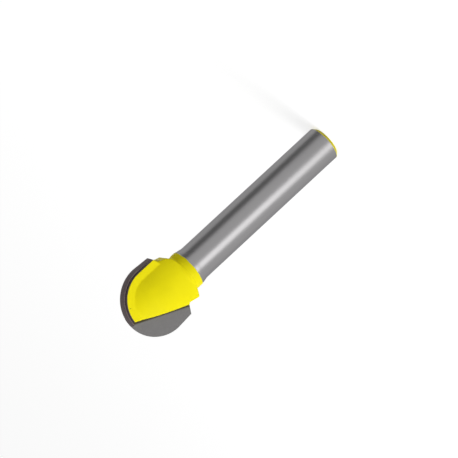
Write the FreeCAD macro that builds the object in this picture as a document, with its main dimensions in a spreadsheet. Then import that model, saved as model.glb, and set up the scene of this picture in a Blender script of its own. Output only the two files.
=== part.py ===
import FreeCAD, Part
import os
import Sketcher

# Core box router bit, 12.7 mm cut on a 6.35 mm shank, millimetres.
#
# The axis of the bit is Z. The flat end of the shank stands on Z = 0 and the
# round cutting nose points up. The origin is the middle of the shank's end face.
# Blade 1 lies on the +X side and its rake face looks towards +Y. Blade 2 is the
# same blade turned half a turn about Z. So the bit cuts when it turns clockwise
# as seen from the shank, as a router drives it.

SHEET = "sizes"

SIZES = [
    # shank and collar, turned from one bar
    ("shank_diameter", 6.35, "quarter inch shank"),
    ("end_chamfer", 0.5, "chamfer on the free end of the shank"),
    ("shank_length", 30.9, "end of the shank to the start of the taper"),
    ("taper_length", 1.5, "taper between shank and collar"),
    ("collar_diameter", 7.08, "collar under the head"),
    ("collar_length", 0.8, "straight part of the collar"),
    ("neck_diameter", 6.3, "shallow neck between collar and head"),
    ("neck_slope_length", 0.55, "length of the slope from collar to neck"),
    ("neck_length", 0.45, "straight part of the neck"),
    # head
    ("head_length", 12.1, "neck to the tip of the cut"),
    ("cutting_diameter", 12.7, "half inch cut"),
    ("cutting_length", 9.525, "tip to the top outer corner of a blade"),
    ("steel_setback", 0.45, "steel stands this far inside the cut"),
    ("shoulder_radius", 2.0, "round shoulder of the head"),
    ("core_thickness", 5.8, "thickness of the domed core between the gullets"),
    ("core_radius", 7.4, "radius of the dome on the core"),
    ("wing_backing", 0.5, "steel behind each blade"),
    ("wing_height", 10.2, "tip to the top of the flat back of a wing"),
    ("wall_angle", 24.0, "gullet wall to the axis, degrees"),
    ("wall_apex", 0.39, "tip to the point where a gullet wall meets the axis"),
    # brazed carbide blades
    ("blade_thickness", 1.1, "carbide blade"),
    ("blade_top_angle", 27.0, "top edge of a blade to the radius, degrees"),
    ("blade_toe", 0.65, "how far a blade reaches past the axis at the tip"),
    ("side_taper", 4.0, "back taper of the side edge, degrees"),
    ("relief_offset", 1.2, "offset of the grinding axis in front of a blade"),
]

DERIVED = [
    ("shank_radius", "=shank_diameter / 2"),
    ("collar_radius", "=collar_diameter / 2"),
    ("neck_radius", "=neck_diameter / 2"),
    ("cut_radius", "=cutting_diameter / 2"),
    ("taper_end", "=shank_length + taper_length"),
    ("collar_end", "=taper_end + collar_length"),
    ("neck_start", "=collar_end + neck_slope_length"),
    ("head_start", "=neck_start + neck_length"),
    ("overall_length", "=head_start + head_length"),
    ("ball_height", "=overall_length - cut_radius"),
    ("body_radius", "=cut_radius - steel_setback"),
    ("shoulder_inside", "=body_radius - shoulder_radius"),
    ("half_core", "=core_thickness / 2"),
    ("dome_rise", "=core_radius - half_core"),
    ("wing_face", "=blade_thickness + wing_backing"),
    ("dome_foot", "=sqrt(core_radius ^ 2 - (dome_rise + wing_face) ^ 2)"),
    ("lens_half_width", "=sqrt(core_radius ^ 2 - dome_rise ^ 2)"),
    ("wing_top", "=overall_length - wing_height"),
    ("wall_slope", "=tan(wall_angle * 1 deg)"),
    ("top_slope", "=tan(blade_top_angle * 1 deg)"),
    ("side_slope", "=tan(side_taper * 1 deg)"),
    ("corner_radius", "=cut_radius - (cutting_length - cut_radius) * side_slope"),
    ("inner_depth", "=(cutting_length + (corner_radius + wall_apex * wall_slope) * top_slope)"
                    " / (1 + wall_slope * top_slope)"),
    ("inner_radius", "=(inner_depth - wall_apex) * wall_slope"),
    ("blade_top", "=overall_length - inner_depth"),
    ("blade_corner", "=overall_length - cutting_length"),
    ("wall_foot_radius", "=(head_length - wall_apex) * wall_slope"),
    ("seat_toe_radius", "=(steel_setback - wall_apex) * wall_slope"),
    ("grind_radius", "=sqrt(cut_radius ^ 2 + relief_offset ^ 2)"),
    ("grind_depth", "=inner_depth + blade_thickness"),
    ("grind_low_radius", "=sqrt((cut_radius - (grind_depth - cut_radius) * side_slope) ^ 2"
                         " + relief_offset ^ 2)"),
    # how far the cutting sketches run past the metal
    ("free_reach", "=2 * cutting_diameter"),
    ("clear_top", "=overall_length + cut_radius"),
]


def make_sheet(doc):
    """Driving sizes in column B with their notes, worked out sizes under them."""
    sheet = doc.addObject("Spreadsheet::Sheet", SHEET)
    row = 1
    for alias, size, note in SIZES:
        sheet.set("A%d" % row, note)
        sheet.set("B%d" % row, str(size))
        sheet.setAlias("B%d" % row, alias)
        row += 1
    for alias, formula in DERIVED:
        sheet.set("A%d" % row, alias.replace("_", " "))
        sheet.set("B%d" % row, formula)
        sheet.setAlias("B%d" % row, alias)
        row += 1
    doc.recompute()
    return sheet


doc = FreeCAD.newDocument("core_box_bit")
sheet = make_sheet(doc)
ALIASES = [entry[0] for entry in SIZES + DERIVED]


def bound(text):
    """Write an expression on the sheet's aliases so that other objects can use it.

    In an expression here, every name and sign stands between spaces, except a
    minus sign in front of the first name.
    """
    words = []
    for word in text.split(" "):
        sign = "-" if word.startswith("-") and len(word) > 1 else ""
        name = word[len(sign):]
        words.append(sign + SHEET + "." + name if name in ALIASES else word)
    return " ".join(words)


def number(text):
    return float(sheet.evalExpression(bound(text)))


def body_plane(body, role):
    for feature in body.Origin.OriginFeatures:
        if feature.Role == role:
            return feature
    raise RuntimeError("no origin plane " + role)


def new_sketch(body, name, role, offset="0"):
    """A sketch on one of the body's own origin planes, moved along its normal."""
    sketch = body.newObject("Sketcher::SketchObject", name)
    sketch.AttachmentSupport = [(body_plane(body, role), "")]
    sketch.MapMode = "FlatFace"
    if offset != "0":
        sketch.AttachmentOffset = FreeCAD.Placement(
            FreeCAD.Vector(0, 0, number(offset)), FreeCAD.Rotation())
        sketch.setExpression("AttachmentOffset.Base.z", bound(offset))
    return sketch


def draw_outline(sketch, corners, arcs=None):
    """Closed outline through the corners, each held by its two coordinates.

    arcs maps the number of an edge to (centre x, centre y, radius, turn), where
    turn is 1 for an arc that runs anticlockwise from its corner to the next.
    """
    arcs = arcs or {}
    spots = [FreeCAD.Vector(number(x), number(y), 0) for x, y in corners]
    count = len(spots)
    starts = []
    for edge in range(count):
        start = spots[edge]
        end = spots[(edge + 1) % count]
        if edge not in arcs:
            sketch.addGeometry(Part.LineSegment(start, end), False)
            starts.append((edge, 1))
            continue
        centre_x, centre_y, radius, turn = arcs[edge]
        centre = FreeCAD.Vector(number(centre_x), number(centre_y), 0)
        circle = Part.Circle(centre, FreeCAD.Vector(0, 0, 1), number(radius))
        first, last = (start, end) if turn > 0 else (end, start)
        arc = Part.ArcOfCircle(circle, circle.parameter(first), circle.parameter(last))
        sketch.addGeometry(arc, False)
        starts.append((edge, 1 if turn > 0 else 2))
    for edge in range(count):
        following = starts[(edge + 1) % count]
        end_side = 3 - starts[edge][1]
        sketch.addConstraint(Sketcher.Constraint(
            "Coincident", edge, end_side, following[0], following[1]))
    for index, (x, y) in enumerate(corners):
        edge, side = starts[index]
        hold_corner(sketch, edge, side, x, y, index)
    for edge in arcs:
        radius = arcs[edge][2]
        held = sketch.addConstraint(Sketcher.Constraint("Radius", edge, number(radius)))
        sketch.renameConstraint(held, "radius_%d" % edge)
        sketch.setExpression("Constraints.radius_%d" % edge, bound(radius))


def hold_corner(sketch, edge, side, x, y, index):
    """Tie one corner to the sheet, or to an axis where its coordinate is nought."""
    for kind, text, axis in (("DistanceX", x, -2), ("DistanceY", y, -1)):
        if text == "0":
            sketch.addConstraint(Sketcher.Constraint("PointOnObject", edge, side, axis))
            continue
        held = sketch.addConstraint(Sketcher.Constraint(
            kind, -1, 1, edge, side, number(text)))
        label = "%s_%d" % (kind[-1].lower(), index)
        sketch.renameConstraint(held, label)
        sketch.setExpression("Constraints." + label, bound(text))


def new_body(name):
    body = doc.addObject("PartDesign::Body", name)
    body.Label = name
    return body


def revolve_about_v(body, kind, name, sketch, angle=360.0, backwards=False):
    """Turn a sketch about its own vertical axis, to add or to cut."""
    feature = body.newObject(kind, name)
    feature.Profile = sketch
    feature.ReferenceAxis = (sketch, ["V_Axis"])
    feature.Angle = angle
    feature.Reversed = backwards
    doc.recompute()
    return feature


def pocket(body, name, sketch, length, midplane=False):
    """A pocket that must take metal away."""
    before = body.Shape.Volume
    feature = body.newObject("PartDesign::Pocket", name)
    feature.Profile = sketch
    feature.Type = 0
    feature.Length = number(length)
    feature.setExpression("Length", bound(length))
    feature.Midplane = midplane
    doc.recompute()
    if body.Shape.Volume > before - 0.01:
        raise RuntimeError(name + " removes nothing")
    return feature


def make_steel_body():
    """Shank, collar and head, turned and milled from one bar."""
    body = new_body("steel_body")

    turned = new_sketch(body, "turned_profile", "XZ_Plane")
    draw_outline(turned, [
        ("0", "0"),
        ("shank_radius - end_chamfer", "0"),
        ("shank_radius", "end_chamfer"),
        ("shank_radius", "shank_length"),
        ("collar_radius", "taper_end"),
        ("collar_radius", "collar_end"),
        ("neck_radius", "neck_start"),
        ("neck_radius", "head_start"),
        ("shoulder_inside", "head_start"),
        ("body_radius", "head_start + shoulder_radius"),
        ("body_radius", "ball_height"),
        ("0", "ball_height + body_radius"),
    ], {
        8: ("shoulder_inside", "head_start + shoulder_radius", "shoulder_radius", 1),
        10: ("0", "ball_height", "body_radius", 1),
    })
    revolve_about_v(body, "PartDesign::Revolution", "turned_blank", turned)

    # The dome of the core, above the middle of the ball: the profile is turned
    # half round about a line through the middle of the ball, parallel to Y.
    dome = new_sketch(body, "dome_profile", "XY_Plane", "ball_height")
    draw_outline(dome, [
        ("0", "-half_core"),
        ("0", "-free_reach"),
        ("free_reach", "-free_reach"),
        ("free_reach", "-wing_face"),
        ("dome_foot", "-wing_face"),
    ], {4: ("0", "dome_rise", "core_radius", -1)})
    before = body.Shape.Volume
    middle = body.Shape.Solids[0].CenterOfMass.z
    nose = revolve_about_v(body, "PartDesign::Groove", "nose_dome", dome, 180.0,
                           backwards=True)
    if body.Shape.Volume > before - 0.01:
        raise RuntimeError("the nose dome removes nothing")
    if body.Shape.Solids[0].CenterOfMass.z > middle:
        raise RuntimeError("the nose dome is cut on the wrong side")

    # The same profile runs straight down the wings, to the top of their backs.
    back = new_sketch(body, "wing_back_profile", "XY_Plane", "ball_height")
    draw_outline(back, [
        ("-free_reach", "-wing_face"),
        ("-free_reach", "-free_reach"),
        ("free_reach", "-free_reach"),
        ("free_reach", "-wing_face"),
        ("dome_foot", "-wing_face"),
        ("-dome_foot", "-wing_face"),
    ], {4: ("0", "dome_rise", "core_radius", -1)})
    wing_back = pocket(body, "wing_back", back, "ball_height - wing_top")

    # Over the wings the core runs out to the sides as a lens.
    lens = new_sketch(body, "lens_profile", "XY_Plane", "wing_top")
    draw_outline(lens, [
        ("-free_reach", "0"),
        ("-free_reach", "-free_reach"),
        ("free_reach", "-free_reach"),
        ("free_reach", "0"),
        ("lens_half_width", "0"),
        ("-lens_half_width", "0"),
    ], {4: ("0", "dome_rise", "core_radius", -1)})
    core_lens = pocket(body, "core_lens", lens, "wing_top - head_start")

    # Gullet in front of the blade, as deep as the blade's seat.
    gullet_outline = new_sketch(body, "gullet_outline", "XZ_Plane", "blade_thickness")
    draw_outline(gullet_outline, [
        ("0", "overall_length - wall_apex"),
        ("inner_radius", "blade_top"),
        ("free_reach", "blade_top"),
        ("free_reach", "clear_top"),
        ("0", "clear_top"),
    ])
    gullet = pocket(body, "gullet", gullet_outline, "free_reach")

    # The wing is trimmed right through, along the top edge of the blade and then
    # down the line of the gullet wall.
    trim_outline = new_sketch(body, "wing_trim_outline", "XZ_Plane")
    draw_outline(trim_outline, [
        ("inner_radius", "blade_top"),
        ("wall_foot_radius", "head_start"),
        ("free_reach", "head_start"),
        ("free_reach", "blade_corner + ( free_reach - corner_radius ) * top_slope"),
    ])
    wing_trim = pocket(body, "wing_trim", trim_outline, "2 * free_reach", midplane=True)

    both = body.newObject("PartDesign::PolarPattern", "both_sides")
    both.Originals = [nose, wing_back, core_lens, gullet, wing_trim]
    both.Axis = (turned, ["V_Axis"])
    both.Angle = 360.0
    both.Occurrences = 2
    body.Tip = both
    doc.recompute()
    return body


def make_blade(name, turn):
    """One carbide blade, brazed into its seat and ground to the ball."""
    body = new_body(name)

    plate_outline = new_sketch(body, "plate_outline", "XZ_Plane")
    draw_outline(plate_outline, [
        ("-blade_toe", "overall_length - steel_setback"),
        ("seat_toe_radius", "overall_length - steel_setback"),
        ("inner_radius", "blade_top"),
        ("cut_radius", "blade_corner + ( cut_radius - corner_radius ) * top_slope"),
        ("cutting_diameter", "blade_corner + ( cut_radius - corner_radius ) * top_slope"),
        ("cutting_diameter", "clear_top"),
        ("-blade_toe", "clear_top"),
    ])
    plate = body.newObject("PartDesign::Pad", "plate")
    plate.Profile = plate_outline
    plate.Length = number("blade_thickness")
    plate.setExpression("Length", bound("blade_thickness"))
    doc.recompute()

    # The flank is ground about an axis in front of the rake face, so that it
    # falls away behind the cutting edge while the edge itself stays on the ball.
    grind = new_sketch(body, "grinding_profile", "XZ_Plane", "-relief_offset")
    draw_outline(grind, [
        ("grind_low_radius", "overall_length - grind_depth"),
        ("free_reach", "overall_length - grind_depth"),
        ("free_reach", "clear_top"),
        ("0", "clear_top"),
        ("0", "ball_height + grind_radius"),
        ("grind_radius", "ball_height"),
    ], {4: ("0", "ball_height", "grind_radius", -1)})
    before = body.Shape.Volume
    revolve_about_v(body, "PartDesign::Groove", "ground_flank", grind)
    if body.Shape.Volume > before - 0.01:
        raise RuntimeError("grinding removes nothing from " + name)
    body.Placement = FreeCAD.Placement(
        FreeCAD.Vector(0, 0, 0), FreeCAD.Rotation(FreeCAD.Vector(0, 0, 1), turn))
    doc.recompute()
    return body


pieces = [make_steel_body()]
for index in range(2):
    pieces.append(make_blade("carbide_tip_%d" % (index + 1), index * 180.0))

doc.recompute()
for item in doc.Objects:
    if "Invalid" in item.State or "Error" in item.State:
        raise RuntimeError(item.Name + " failed: " + ", ".join(item.State))
for piece in pieces:
    if piece.Shape.isNull() or not piece.Shape.isValid():
        raise RuntimeError(piece.Label + " has no valid shape")
    if len(piece.Shape.Solids) != 1:
        raise RuntimeError(piece.Label + " is not one solid")

os.makedirs("parts", exist_ok=True)
for piece in pieces:
    piece.Shape.exportStep("parts/" + piece.Label + ".step")
    box = piece.Shape.BoundBox
    print("%-16s %9.3f mm3  x %.3f %.3f  y %.3f %.3f  z %.3f %.3f" % (
        piece.Label, piece.Shape.Volume,
        box.XMin, box.XMax, box.YMin, box.YMax, box.ZMin, box.ZMax))
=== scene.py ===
"""Looks of a core box router bit: a ground steel shank, a painted head and two carbide blades.

Run as a script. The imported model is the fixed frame, and every length is in metres.
"""

import math

import bpy
from mathutils import Matrix, Vector


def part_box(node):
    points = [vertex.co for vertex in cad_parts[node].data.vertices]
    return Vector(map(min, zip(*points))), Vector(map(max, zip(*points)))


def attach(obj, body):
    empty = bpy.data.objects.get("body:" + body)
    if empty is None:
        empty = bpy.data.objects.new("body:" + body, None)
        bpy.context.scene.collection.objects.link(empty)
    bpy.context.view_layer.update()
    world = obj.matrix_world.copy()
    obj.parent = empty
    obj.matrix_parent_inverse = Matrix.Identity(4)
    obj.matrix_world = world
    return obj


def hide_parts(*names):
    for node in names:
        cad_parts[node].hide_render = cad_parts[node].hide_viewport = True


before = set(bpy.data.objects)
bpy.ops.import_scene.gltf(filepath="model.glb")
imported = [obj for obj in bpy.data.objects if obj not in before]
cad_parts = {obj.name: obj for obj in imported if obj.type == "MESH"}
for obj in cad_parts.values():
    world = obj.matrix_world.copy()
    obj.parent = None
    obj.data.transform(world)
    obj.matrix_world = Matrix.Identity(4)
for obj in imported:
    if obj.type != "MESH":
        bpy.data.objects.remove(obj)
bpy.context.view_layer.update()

bl_info = {
    "name": "Core Box Bit",
    "version": (1, 0, 0),
    "blender": (4, 5, 0),
    "location": "View3D > Sidebar > Core Box Bit",
    "description": "Finishes and stage of a core box router bit",
    "category": "Object",
}

MM = 0.001
BODY = "root"

# Sizes read from the frame
FREE_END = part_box("steel_body")[0][2]
BLADE_LOW, BLADE_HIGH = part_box("carbide_tip_1")
TIP = BLADE_HIGH[2]
CUT_RADIUS = BLADE_HIGH[0]
BALL_HEIGHT = TIP - CUT_RADIUS
BLADE_TOP = BLADE_LOW[2]
BLADE_THICKNESS = BLADE_HIGH[1] - BLADE_LOW[1]

# Sizes of the dressed steel body, whose neck and shoulder follow the photo
SHANK_RADIUS = 3.175 * MM
END_CHAMFER = 0.5 * MM
SHANK_END = 31.0 * MM
TAPER_END = 32.3 * MM
COLLAR_RADIUS = 3.47 * MM
COLLAR_END = 33.3 * MM
NECK_RADIUS = 3.37 * MM
HEAD_START = 33.72 * MM
SHOULDER_START = 34.18 * MM
SHOULDER_RADIUS = 4.6 * MM
SHOULDER_END = 35.1 * MM
ROOT_END = 34.4 * MM
HEAD_RADIUS = 5.94 * MM
LOBE_HALF_WIDTH = 4.42 * MM
LOBE_REACH = 4.79 * MM
HALF_CORE = 2.9 * MM
CORE_RADIUS = 8.0 * MM
WING_FACE = 1.6 * MM
WING_TOP = 36.1 * MM
WALL_APEX = 0.39 * MM
WALL_SLOPE = math.tan(math.radians(24.0))
WALL_FOOT = (TIP - WALL_APEX - BLADE_TOP) * WALL_SLOPE
BLADE_TOP_SLOPE = math.tan(math.radians(27.0))
FAR = 9.0 * MM
LATHE_SIDES = 128
CAP_STEPS = 28
PAINT_GRAIN = 0.09 * MM
PAINT_ROUNDING = 5
PIT = (2.15 * MM, -WING_FACE, 44.78 * MM)
PIT_RADIUS = 0.11 * MM

# The photo's frame and where the bit lies in it, in pixels of its 458 by 458 frame
PHOTO_SIZE = 458
PHOTO_CENTRE = PHOTO_SIZE / 2
TIP_PIXEL = (129.09, 323.25)
TIP_HEADING = (-0.73401, -0.67916)
PIXEL = 0.1662 * MM
SENSOR_WIDTH = 36.0

# Colours and bands of the finishes
STEEL_TINT = (0.58, 0.58, 0.59, 1.0)
PIT_COLOUR = (0.22, 0.17, 0.01, 1.0)
# Painted shade: a dark band on the rake face beside the steel wall, standing in for the shade
# the wall casts there
WALL_SHADE_COLOUR = (0.03, 0.026, 0.01, 1.0)
WALL_SHADE_BAND = (0.5 * MM, 0.84 * MM)
LAND_START = (BLADE_TOP + 0.3 * MM, BLADE_TOP + 0.6 * MM)
PAINT_EDGE = 0.05 * MM
PAINT_WANDER = 0.25 * MM

# The lamps and the grey card, by their angle from the camera, and the floor
KEY_ANGLE = math.radians(43)
KEY_SIZE = (0.24, 0.85)
SIDE_ANGLE = math.radians(65)
SIDE_SIZE = (0.3, 0.3)
LAMP_DISTANCE = 0.35
CARD_ANGLE = math.radians(70)
CARD_SIZE = (0.23, 0.6)
CARD_DISTANCE = 0.3
CARD_GREY = 0.36
FLOOR_RADIUS = 0.5
FLOOR_GREY = 0.72
FLOOR_GLOW = 0.66


class BitPaint(bpy.types.PropertyGroup):
    """Finish of the painted head"""
    colour: bpy.props.FloatVectorProperty(
        name="Paint", description="Colour of the paint on the head",
        subtype="COLOR", size=3, min=0.0, max=1.0, default=(0.9, 0.795, 0.006))
    line: bpy.props.FloatProperty(
        name="Paint Line", description="Height of the lower edge of the paint",
        subtype="DISTANCE", unit="LENGTH", default=32.42 * MM)
    end_band: bpy.props.FloatProperty(
        name="End Band", description="Height of the painted chamfer at the free end",
        subtype="DISTANCE", unit="LENGTH", default=0.52 * MM)
    roughness: bpy.props.FloatProperty(
        name="Roughness", description="Roughness of the paint",
        min=0.0, max=1.0, default=0.42)


class BitSteel(bpy.types.PropertyGroup):
    """Finish of the ground shank"""
    colour: bpy.props.FloatVectorProperty(
        name="Steel", description="Colour of the bare steel",
        subtype="COLOR", size=3, min=0.0, max=1.0, default=(0.295, 0.29, 0.293))
    roughness: bpy.props.FloatProperty(
        name="Roughness", description="Roughness of the ground steel",
        min=0.0, max=1.0, default=0.32)
    mark_width: bpy.props.FloatProperty(
        name="Mark Width", description="Width of one grinding mark along the shank",
        subtype="DISTANCE", unit="LENGTH", default=0.05 * MM)


class BitCarbide(bpy.types.PropertyGroup):
    """Finish of the ground blades"""
    colour: bpy.props.FloatVectorProperty(
        name="Carbide", description="Colour of the carbide",
        subtype="COLOR", size=3, min=0.0, max=1.0, default=(0.105, 0.102, 0.102))
    # The lands get a darker, brown-tinted copy of the carbide colour: the brown is a tint, and
    # the darkness is painted shade on the side away from the light
    shaded_land: bpy.props.FloatVectorProperty(
        name="Land", description="Colour of the ground lands behind the cutting edges",
        subtype="COLOR", size=3, min=0.0, max=1.0, default=(0.085, 0.066, 0.066))
    roughness: bpy.props.FloatProperty(
        name="Roughness", description="Roughness of the ground carbide",
        min=0.0, max=1.0, default=0.42)


class BitStage(bpy.types.PropertyGroup):
    """Camera and light"""
    camera_height: bpy.props.FloatProperty(
        name="Camera Height", description="Angle of the camera above the horizon",
        subtype="ANGLE", default=math.radians(15.4))
    camera_turn: bpy.props.FloatProperty(
        name="Camera Turn", description="Angle of the camera from the face of the blades",
        subtype="ANGLE", default=math.radians(17.0))
    camera_distance: bpy.props.FloatProperty(
        name="Camera Distance", description="Camera to the axis of the bit",
        subtype="DISTANCE", unit="LENGTH", default=0.8)
    key_power: bpy.props.FloatProperty(
        name="Key Light", description="Power of the soft key light",
        subtype="POWER", default=1.3)
    fill_power: bpy.props.FloatProperty(
        name="Side Light", description="Power of the side light on the paint",
        subtype="POWER", default=0.62)
    sky: bpy.props.FloatProperty(
        name="Sky", description="Strength of the light from all round", default=0.33)


class NodeBook:
    """A material or world under construction: short calls that add and link its nodes."""

    def __init__(self, owner):
        self.owner = owner
        owner.use_nodes = True
        self.tree = owner.node_tree
        self.tree.nodes.clear()
        self.column = 0

    def add(self, kind, **settings):
        node = self.tree.nodes.new(kind)
        node.location = (self.column * 180, 0)
        self.column += 1
        for name, setting in settings.items():
            setattr(node, name, setting)
        return node

    def link(self, source, target):
        if isinstance(source, (int, float)):
            target.default_value = source
        else:
            self.tree.links.new(source, target)

    def math(self, operation, first, second=0.0):
        node = self.add("ShaderNodeMath", operation=operation)
        self.link(first, node.inputs[0])
        self.link(second, node.inputs[1])
        return node.outputs[0]

    def ramp(self, source, low, high, to_low=0.0, to_high=1.0):
        """Smooth step of a value from low to high."""
        node = self.add("ShaderNodeMapRange", interpolation_type="SMOOTHSTEP")
        self.link(source, node.inputs["Value"])
        node.inputs["From Min"].default_value = low
        node.inputs["From Max"].default_value = high
        node.inputs["To Min"].default_value = to_low
        node.inputs["To Max"].default_value = to_high
        return node.outputs["Result"]

    def noise(self, place, scale, detail=2.0, stretch=(1.0, 1.0, 1.0)):
        mapping = self.add("ShaderNodeMapping")
        mapping.inputs["Scale"].default_value = stretch
        self.tree.links.new(place, mapping.inputs["Vector"])
        node = self.add("ShaderNodeTexNoise")
        self.tree.links.new(mapping.outputs[0], node.inputs["Vector"])
        node.inputs["Scale"].default_value = scale
        node.inputs["Detail"].default_value = detail
        return node.outputs["Fac"]

    def mix_colour(self, share, first, second):
        node = self.add("ShaderNodeMix", data_type="RGBA")
        self.link(share, node.inputs[0])
        for source, target in ((first, node.inputs[6]), (second, node.inputs[7])):
            if isinstance(source, tuple):
                target.default_value = source
            else:
                self.tree.links.new(source, target)
        return node.outputs[2]

    def bump(self, height, distance, strength=1.0):
        node = self.add("ShaderNodeBump")
        self.tree.links.new(height, node.inputs["Height"])
        node.inputs["Distance"].default_value = distance
        node.inputs["Strength"].default_value = strength
        return node.outputs[0]

    def mix_shader(self, share, first, second):
        node = self.add("ShaderNodeMixShader")
        self.link(share, node.inputs[0])
        self.link(first.outputs[0], node.inputs[1])
        self.link(second.outputs[0], node.inputs[2])
        return node

    def backdrop_seen(self):
        """1 where the backdrop is seen straight, mirrored in metal or through glass."""
        path = self.add("ShaderNodeLightPath")
        seen = self.math("MAXIMUM", path.outputs["Is Camera Ray"], path.outputs["Is Glossy Ray"])
        return self.math("MAXIMUM", seen, path.outputs["Is Transmission Ray"])

    def surface(self, shader, kind="ShaderNodeOutputMaterial"):
        """Link the finished shader to the output, and give back the material or world."""
        self.link(shader.outputs[0], self.add(kind).inputs["Surface"])
        return self.owner


def rgba(colour):
    return (colour[0], colour[1], colour[2], 1.0)


def paint_mask(book, split, paint):
    """1 where the bit is painted: the head and collar, and the chamfer at the free end."""
    ragged = book.noise(book.place, 900.0, 2.0)
    wander = book.math("MULTIPLY", book.math("SUBTRACT", ragged, 0.5), PAINT_WANDER)
    height = book.math("ADD", split.outputs["Z"], wander)
    head = book.ramp(height, paint.line - PAINT_EDGE, paint.line + PAINT_EDGE)
    end = book.ramp(height, paint.end_band - PAINT_EDGE, paint.end_band + PAINT_EDGE, 1.0, 0.0)
    return book.math("MAXIMUM", head, end)


def wing_land(book, split):
    """1 on the ground outer lands of the steel wings, which carry no paint."""
    over = book.math("MAXIMUM", book.math("SUBTRACT", split.outputs["Z"], BALL_HEIGHT), 0.0)
    flat = book.add("ShaderNodeCombineXYZ")
    book.link(split.outputs["X"], flat.inputs["X"])
    book.link(split.outputs["Y"], flat.inputs["Y"])
    book.link(over, flat.inputs["Z"])
    length = book.add("ShaderNodeVectorMath", operation="LENGTH")
    book.tree.links.new(flat.outputs[0], length.inputs[0])
    near = book.ramp(length.outputs["Value"], HEAD_RADIUS - 0.1 * MM,
                     HEAD_RADIUS - 0.05 * MM)
    low = book.ramp(split.outputs["Z"], *LAND_START)
    return book.math("MULTIPLY", near, low)


def pit_mask(book):
    """1 in the small pit in the paint near the nose."""
    gap = book.add("ShaderNodeVectorMath", operation="DISTANCE")
    book.tree.links.new(book.place, gap.inputs[0])
    gap.inputs[1].default_value = PIT
    return book.ramp(gap.outputs["Value"], 0.5 * PIT_RADIUS, PIT_RADIUS, 1.0, 0.0)


def body_material(steel, paint, shaded_land):
    """Ground steel below, yellow paint above: one surface with a painted edge."""
    book = NodeBook(bpy.data.materials.new("steel_and_paint"))
    book.place = book.add("ShaderNodeTexCoord").outputs["Object"]
    split = book.add("ShaderNodeSeparateXYZ")
    book.tree.links.new(book.place, split.inputs[0])

    marks = book.noise(book.place, 1.0 / steel.mark_width, 3.0, (0.02, 0.02, 1.0))
    cloud = book.noise(book.place, 350.0, 3.0)
    smudge = book.noise(book.place, 120.0, 2.0, (1.0, 1.0, 0.35))
    steel_dark = tuple(channel * 0.88 for channel in steel.colour) + (1.0,)
    steel_tone = book.mix_colour(book.math("MULTIPLY", marks, smudge),
                                 rgba(steel.colour), steel_dark)
    metal = book.add("ShaderNodeBsdfPrincipled")
    book.tree.links.new(steel_tone, metal.inputs["Base Color"])
    metal.inputs["Metallic"].default_value = 1.0
    metal.inputs["Specular Tint"].default_value = STEEL_TINT
    book.link(book.ramp(smudge, 0.3, 0.7, steel.roughness, steel.roughness + 0.07),
              metal.inputs["Roughness"])
    book.tree.links.new(book.bump(marks, 0.001 * MM, 0.35), metal.inputs["Normal"])

    pale = tuple(min(1.0, channel * 1.05) for channel in paint.colour) + (1.0,)
    deep = tuple(channel * 0.93 for channel in paint.colour) + (1.0,)
    paint_tone = book.mix_colour(cloud, deep, pale)
    paint_tone = book.mix_colour(pit_mask(book), paint_tone, PIT_COLOUR)
    coat = book.add("ShaderNodeBsdfPrincipled")
    book.tree.links.new(paint_tone, coat.inputs["Base Color"])
    coat.inputs["Roughness"].default_value = paint.roughness
    coat.inputs["Specular IOR Level"].default_value = 0.05
    peel = book.noise(book.place, 2600.0, 1.0)
    book.tree.links.new(book.bump(peel, 0.004 * MM, 0.5), coat.inputs["Normal"])

    # The bare ground lands of the steel wings take the same land colour, far darker than the
    # shank's steel: painted shade
    ground = book.add("ShaderNodeBsdfPrincipled")
    ground.inputs["Base Color"].default_value = rgba(shaded_land)
    ground.inputs["Metallic"].default_value = 0.85
    ground.inputs["Roughness"].default_value = 0.45

    painted = book.mix_shader(paint_mask(book, split, paint), metal, coat)
    return book.surface(book.mix_shader(wing_land(book, split), painted, ground))


def carbide_material(carbide):
    """Ground carbide with fine wheel lines, lands darkened with painted shade and a brown tint,
    and a band of painted shade on the rake face beside the steel wall.
    """
    book = NodeBook(bpy.data.materials.new("ground_carbide"))
    place = book.add("ShaderNodeTexCoord").outputs["Object"]
    lines = book.noise(place, 9000.0, 3.0, (0.06, 0.06, 1.0))
    grain = book.noise(place, 5000.0, 2.0)
    tone = book.noise(place, 500.0, 2.0)
    dark = tuple(channel * 0.85 for channel in carbide.colour) + (1.0,)
    base = book.mix_colour(tone, dark, rgba(carbide.colour))
    split = book.add("ShaderNodeSeparateXYZ")
    book.tree.links.new(place, split.inputs[0])
    # Painted shade: the rake face darkens in a band just beside the steel wall
    wall = book.math("MULTIPLY", book.math("SUBTRACT", TIP - WALL_APEX, split.outputs["Z"]),
                     WALL_SLOPE)
    gap = book.math("SUBTRACT", book.math("ABSOLUTE", split.outputs["X"]), wall)
    base = book.mix_colour(book.ramp(gap, *WALL_SHADE_BAND, 1.0, 0.0), base, WALL_SHADE_COLOUR)
    # Every face off the rake plane takes the land colour: painted shade with a brown tint
    behind = book.ramp(book.math("ABSOLUTE", split.outputs["Y"]), 0.03 * MM, 0.06 * MM)
    base = book.mix_colour(behind, base, rgba(carbide.shaded_land))
    metal = book.add("ShaderNodeBsdfPrincipled")
    book.tree.links.new(base, metal.inputs["Base Color"])
    metal.inputs["Metallic"].default_value = 0.85
    book.link(book.ramp(grain, 0.2, 0.8, carbide.roughness - 0.05, carbide.roughness + 0.08),
              metal.inputs["Roughness"])
    book.tree.links.new(book.bump(lines, 0.002 * MM, 0.4), metal.inputs["Normal"])
    return book.surface(metal)


def dress(node_name, material):
    """Give a node of the frame its material."""
    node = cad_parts[node_name]
    node.data.materials.clear()
    node.data.materials.append(material)


def deselect_all():
    if bpy.context.object and bpy.context.object.mode != "OBJECT":
        bpy.ops.object.mode_set(mode="OBJECT")
    bpy.ops.object.select_all(action="DESELECT")


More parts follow.
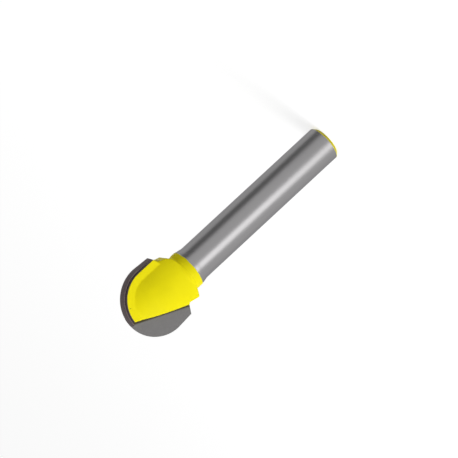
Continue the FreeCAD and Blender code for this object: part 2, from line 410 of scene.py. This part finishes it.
def set_in_place(piece, name):
    """Close the edit, with the piece's place in its mesh and its faces outward."""
    bpy.ops.mesh.select_all(action="SELECT")
    bpy.ops.mesh.normals_make_consistent(inside=False)
    bpy.ops.object.mode_set(mode="OBJECT")
    bpy.ops.object.transform_apply(location=True, rotation=True, scale=True)
    piece.name = name
    return piece


def lathe(name, rings, centre_y=0.0):
    """Turn a profile about a vertical line: a disc is extruded and resized ring by ring."""
    deselect_all()
    radius, height = rings[0]
    bpy.ops.mesh.primitive_circle_add(vertices=LATHE_SIDES, radius=radius, fill_type="NGON",
                                      location=(0.0, centre_y, height))
    piece = bpy.context.object
    bpy.ops.object.mode_set(mode="EDIT")
    bpy.ops.mesh.select_all(action="SELECT")
    for (radius, height), (next_radius, next_height) in zip(rings, rings[1:]):
        bpy.ops.mesh.extrude_region_move(
            TRANSFORM_OT_translate={"value": (0.0, 0.0, next_height - height)})
        growth = next_radius / radius
        bpy.ops.transform.resize(value=(growth, growth, 1.0),
                                 center_override=(0.0, centre_y, next_height))
    return set_in_place(piece, name)


def prism(name, outline, low_y, high_y):
    """A block with an outline in X and Z, from low_y to high_y."""
    deselect_all()
    bpy.ops.mesh.primitive_circle_add(vertices=len(outline), radius=1.0, fill_type="NGON")
    piece = bpy.context.object
    for vertex, (x, z) in zip(piece.data.vertices, outline):
        vertex.co = (x, low_y, z)
    bpy.ops.object.mode_set(mode="EDIT")
    bpy.ops.mesh.select_all(action="SELECT")
    bpy.ops.mesh.extrude_region_move(
        TRANSFORM_OT_translate={"value": (0.0, high_y - low_y, 0.0)})
    return set_in_place(piece, name)


def half_turn(piece):
    """A copy of a cutter, turned half a turn about the axis of the bit."""
    twin = piece.copy()
    twin.data = piece.data.copy()
    twin.data.transform(Matrix.Rotation(math.pi, 4, "Z"))
    bpy.context.scene.collection.objects.link(twin)
    return twin


def apply_modifier(piece, kind, **settings):
    deselect_all()
    piece.select_set(True)
    bpy.context.view_layer.objects.active = piece
    modifier = piece.modifiers.new("shaping", kind)
    for name, setting in settings.items():
        setattr(modifier, name, setting)
    bpy.ops.object.modifier_apply(modifier=modifier.name)


def combine(piece, operation, other):
    """Join, cut or keep what is common with another piece, which is used up."""
    apply_modifier(piece, "BOOLEAN", operation=operation, solver="EXACT", object=other)
    bpy.data.objects.remove(other)
    heights = [vertex.co.z for vertex in piece.data.vertices]
    if not heights or max(heights) < BALL_HEIGHT:
        raise RuntimeError(piece.name + " has lost its shape: " + operation)


def round_cap(radius, middle):
    """Rings of a half ball from its middle to its top."""
    rings = []
    for step in range(1, CAP_STEPS + 1):
        angle = 0.5 * math.pi * step / CAP_STEPS
        ring_radius = max(radius * math.cos(angle), 0.01 * MM)
        rings.append((ring_radius, middle + radius * math.sin(angle)))
    return rings


def make_head():
    """The painted head: a turned blank, milled to a domed core with a wing each side."""
    blank = lathe("head", [
        (COLLAR_RADIUS, TAPER_END), (COLLAR_RADIUS, COLLAR_END),
        (NECK_RADIUS, COLLAR_END + 0.2 * MM), (NECK_RADIUS, HEAD_START),
        (SHOULDER_RADIUS, SHOULDER_START), (HEAD_RADIUS, SHOULDER_END),
        (HEAD_RADIUS, BALL_HEIGHT),
    ] + round_cap(HEAD_RADIUS, BALL_HEIGHT))
    faces = []
    for side in (1.0, -1.0):
        faces.append(lathe("core_face", [
            (CORE_RADIUS, HEAD_START), (CORE_RADIUS, BALL_HEIGHT),
        ] + round_cap(CORE_RADIUS, BALL_HEIGHT), side * (CORE_RADIUS - HALF_CORE)))
    keep, other_face = faces
    combine(keep, "INTERSECT", other_face)
    wings = prism("wings", [
        (-FAR, WING_TOP), (FAR, WING_TOP), (FAR, FAR + TIP), (-FAR, FAR + TIP),
    ], -WING_FACE, WING_FACE)
    combine(keep, "UNION", wings)
    root = lathe("root", [
        (COLLAR_RADIUS + 0.1 * MM, TAPER_END - 0.1 * MM),
        (COLLAR_RADIUS + 0.1 * MM, COLLAR_END + 0.1 * MM),
        (NECK_RADIUS + 0.01 * MM, HEAD_START + 0.05 * MM),
        (HALF_CORE - 0.05 * MM, ROOT_END),
    ])
    combine(keep, "UNION", root)
    combine(blank, "INTERSECT", keep)
    combine(blank, "DIFFERENCE", prism("dressed_corner", [
        (-FAR, BLADE_TOP - 1.4 * MM), (-4.4 * MM, BLADE_TOP - 1.4 * MM),
        (-3.93 * MM, BLADE_TOP + 0.4 * MM), (-FAR, BLADE_TOP + 0.4 * MM),
    ], -FAR, -0.1 * MM))
    combine(blank, "DIFFERENCE", prism("dressed_lobe", [
        (3.4 * MM, HEAD_START - 0.2 * MM), (FAR, HEAD_START - 0.2 * MM),
        (FAR, 35.75 * MM), (LOBE_REACH, 35.75 * MM), (4.61 * MM, 35.4 * MM),
        (4.49 * MM, 35.0 * MM), (4.33 * MM, 34.62 * MM), (3.4 * MM, 33.82 * MM),
    ], -FAR, FAR))
    gullet = prism("gullet", [
        (0.0, TIP - WALL_APEX), (WALL_FOOT, BLADE_TOP),
        (FAR, BLADE_TOP), (FAR, FAR + TIP), (0.0, FAR + TIP),
    ], -BLADE_THICKNESS, FAR)
    twin = half_turn(gullet)
    combine(blank, "DIFFERENCE", gullet)
    combine(blank, "DIFFERENCE", twin)
    for side, inner in ((1.0, LOBE_REACH), (-1.0, LOBE_HALF_WIDTH)):
        top = BLADE_TOP + (inner - WALL_FOOT) * BLADE_TOP_SLOPE
        far_top = BLADE_TOP + (FAR - WALL_FOOT) * BLADE_TOP_SLOPE
        combine(blank, "DIFFERENCE", prism("trim", [
            (side * inner, top), (side * inner, HEAD_START - 0.3 * MM),
            (side * FAR, HEAD_START - 0.3 * MM), (side * FAR, far_top),
        ], -FAR, FAR))
    apply_modifier(blank, "REMESH", mode="VOXEL", voxel_size=PAINT_GRAIN)
    apply_modifier(blank, "SMOOTH", factor=0.5, iterations=PAINT_ROUNDING)
    return blank


def make_shank():
    """The shank from its chamfered end to the rounded collar."""
    return lathe("shank", [
        (SHANK_RADIUS - END_CHAMFER, FREE_END), (SHANK_RADIUS, END_CHAMFER),
        (SHANK_RADIUS, SHANK_END), (SHANK_RADIUS + 0.12 * MM, SHANK_END + 0.6 * MM),
        (COLLAR_RADIUS - 0.05 * MM, TAPER_END),
        (COLLAR_RADIUS - 0.05 * MM, COLLAR_END - 0.3 * MM),
    ])


class CBB_OT_steel_body(bpy.types.Operator):
    """Model the steel body: ground shank, painted head and painted end"""
    bl_idname = "core_box_bit.steel_body"
    bl_label = "Steel Body"

    def execute(self, context):
        scene = context.scene
        body = make_shank()
        combine(body, "UNION", make_head())
        body.name = "steel_and_paint"
        deselect_all()
        body.select_set(True)
        context.view_layer.objects.active = body
        bpy.ops.object.shade_smooth_by_angle(angle=math.radians(32))
        body.data.materials.clear()
        body.data.materials.append(
            body_material(scene.bit_steel, scene.bit_paint, scene.bit_carbide.shaded_land))
        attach(body, BODY)
        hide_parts("steel_body")
        return {"FINISHED"}


class CBB_OT_blades(bpy.types.Operator):
    """Finish the two carbide blades"""
    bl_idname = "core_box_bit.blades"
    bl_label = "Carbide Blades"

    def execute(self, context):
        material = carbide_material(context.scene.bit_carbide)
        dress("carbide_tip_1", material)
        dress("carbide_tip_2", material)
        return {"FINISHED"}


def camera_axes(stage):
    """Directions towards the camera, towards the tip in the picture and across the bit."""
    front = Vector((math.sin(stage.camera_turn), -math.cos(stage.camera_turn), 0.0))
    up = Vector((0.0, 0.0, 1.0))
    towards = front * math.cos(stage.camera_height) + up * math.sin(stage.camera_height)
    along = up * math.cos(stage.camera_height) - front * math.sin(stage.camera_height)
    across = towards.cross(along)
    return towards, along, across


def photo_target(stage, along, across):
    """The point on the plane of the axis that stands in the middle of the photo."""
    right = PHOTO_CENTRE - TIP_PIXEL[0]
    up = TIP_PIXEL[1] - PHOTO_CENTRE
    heading = Vector(TIP_HEADING)
    side = Vector((-heading.y, heading.x))
    offset = Vector((right, up))
    back = offset.dot(heading) * PIXEL
    sideways = offset.dot(side) * PIXEL
    spine = Vector((0.0, 0.0, TIP + back / math.cos(stage.camera_height)))
    return spine + across * sideways


def add_camera(context, stage):
    towards, along, across = camera_axes(stage)
    heading = Vector(TIP_HEADING)
    side = Vector((-heading.y, heading.x))
    right = along * heading.x + across * side.x
    upward = along * heading.y + across * side.y
    target = photo_target(stage, along, across)
    data = bpy.data.cameras.new("photo_camera")
    camera = bpy.data.objects.new("photo_camera", data)
    context.scene.collection.objects.link(camera)
    turn = Matrix((right, upward, towards)).transposed().to_4x4()
    camera.matrix_world = Matrix.Translation(target + towards * stage.camera_distance) @ turn
    data.sensor_width = SENSOR_WIDTH
    data.lens = SENSOR_WIDTH * stage.camera_distance / (PHOTO_SIZE * PIXEL)
    data.clip_start = 0.01
    data.clip_end = 20.0
    context.scene.camera = camera


def add_softbox(context, name, direction, roll_axis, size, power):
    data = bpy.data.lights.new(name, "AREA")
    data.shape = "RECTANGLE"
    data.size, data.size_y = size
    data.energy = power
    lamp = bpy.data.objects.new(name, data)
    context.scene.collection.objects.link(lamp)
    middle = Vector((0.0, 0.0, TIP * 0.5))
    facing = direction.normalized()
    upward = (roll_axis - facing * roll_axis.dot(facing)).normalized()
    right = upward.cross(facing)
    turn = Matrix((right, upward, facing)).transposed().to_4x4()
    lamp.matrix_world = Matrix.Translation(middle + facing * LAMP_DISTANCE) @ turn
    return lamp


def add_card(name, direction):
    """A grey card beside the bit that gives the polished shank its dark side."""
    deselect_all()
    bpy.ops.mesh.primitive_plane_add(size=1.0)
    card = bpy.context.object
    card.name = name
    facing = direction.normalized()
    right = Vector((0.0, 0.0, 1.0)).cross(facing).normalized()
    width, height = CARD_SIZE
    turn = Matrix((right * width, facing.cross(right) * height, facing)).transposed().to_4x4()
    card.data.transform(Matrix.Translation(
        Vector((0.0, 0.0, TIP * 0.5)) + facing * CARD_DISTANCE) @ turn)
    book = NodeBook(bpy.data.materials.new(name + "_grey"))
    grey = book.add("ShaderNodeBsdfDiffuse")
    grey.inputs["Color"].default_value = (CARD_GREY, CARD_GREY, CARD_GREY, 1.0)
    card.data.materials.append(book.surface(grey))
    card.visible_camera = False
    card.visible_shadow = False
    card.visible_diffuse = False


def add_floor():
    """A pale floor that is white to the camera where it is lit and keeps the shadow."""
    deselect_all()
    bpy.ops.mesh.primitive_circle_add(vertices=96, radius=FLOOR_RADIUS, fill_type="NGON")
    floor = bpy.context.object
    floor.name = "floor"
    book = NodeBook(bpy.data.materials.new("pale_floor"))
    matt = book.add("ShaderNodeBsdfDiffuse")
    matt.inputs["Color"].default_value = (FLOOR_GREY, FLOOR_GREY, FLOOR_GREY, 1.0)
    glow = book.add("ShaderNodeEmission")
    book.link(book.math("MULTIPLY", book.backdrop_seen(), FLOOR_GLOW), glow.inputs["Strength"])
    both = book.add("ShaderNodeAddShader")
    book.link(matt.outputs[0], both.inputs[0])
    book.link(glow.outputs[0], both.inputs[1])
    floor.data.materials.append(book.surface(both))
    floor.visible_glossy = False


def add_sky(context, stage):
    """White behind the bit and in its reflections, plain soft light on its paint."""
    book = NodeBook(bpy.data.worlds.new("studio"))
    strength = book.add("ShaderNodeMapRange")
    book.link(book.backdrop_seen(), strength.inputs["Value"])
    strength.inputs["To Min"].default_value = stage.sky
    strength.inputs["To Max"].default_value = 1.0
    background = book.add("ShaderNodeBackground")
    background.inputs["Color"].default_value = (1.0, 1.0, 1.0, 1.0)
    book.link(strength.outputs["Result"], background.inputs["Strength"])
    context.scene.world = book.surface(background, "ShaderNodeOutputWorld")


class CBB_OT_stage(bpy.types.Operator):
    """Set up the floor, the light and the photo's camera"""
    bl_idname = "core_box_bit.stage"
    bl_label = "Stage"

    def execute(self, context):
        stage = context.scene.bit_stage
        towards, along, across = camera_axes(stage)
        context.scene.view_settings.view_transform = "Standard"
        add_floor()
        add_sky(context, stage)
        key = towards * math.cos(KEY_ANGLE) + across * math.sin(KEY_ANGLE)
        add_softbox(context, "key_softbox", key, along, KEY_SIZE, stage.key_power)
        aside = towards * math.cos(SIDE_ANGLE) + across * math.sin(SIDE_ANGLE)
        fill = add_softbox(context, "side_softbox", aside, along, SIDE_SIZE, stage.fill_power)
        fill.visible_glossy = False
        dark = towards * math.cos(CARD_ANGLE) - across * math.sin(CARD_ANGLE)
        add_card("dark_flag", Vector((dark.x, dark.y, 0.0)))
        add_camera(context, stage)
        return {"FINISHED"}


class CBB_PT_panel(bpy.types.Panel):
    """Sizes, finishes and steps of the core box bit"""
    bl_idname = "CBB_PT_panel"
    bl_label = "Core Box Bit"
    bl_space_type = "VIEW_3D"
    bl_region_type = "UI"
    bl_category = "Core Box Bit"

    def draw(self, context):
        column = self.layout.column()
        for group in (context.scene.bit_paint, context.scene.bit_steel,
                      context.scene.bit_carbide, context.scene.bit_stage):
            for name in group.__annotations__:
                column.prop(group, name)
        for operator in OPERATORS:
            column.operator(operator.bl_idname)


GROUPS = {
    "bit_paint": BitPaint,
    "bit_steel": BitSteel,
    "bit_carbide": BitCarbide,
    "bit_stage": BitStage,
}
OPERATORS = (CBB_OT_steel_body, CBB_OT_blades, CBB_OT_stage)


def register():
    for name, group in GROUPS.items():
        bpy.utils.register_class(group)
        setattr(bpy.types.Scene, name, bpy.props.PointerProperty(type=group))
    for operator in OPERATORS:
        bpy.utils.register_class(operator)
    bpy.utils.register_class(CBB_PT_panel)


def unregister():
    bpy.utils.unregister_class(CBB_PT_panel)
    for operator in reversed(OPERATORS):
        bpy.utils.unregister_class(operator)
    for name, group in GROUPS.items():
        delattr(bpy.types.Scene, name)
        bpy.utils.unregister_class(group)


def main():
    register()
    bpy.ops.core_box_bit.steel_body()
    bpy.ops.core_box_bit.blades()
    bpy.ops.core_box_bit.stage()


if __name__ == "__main__":
    main()
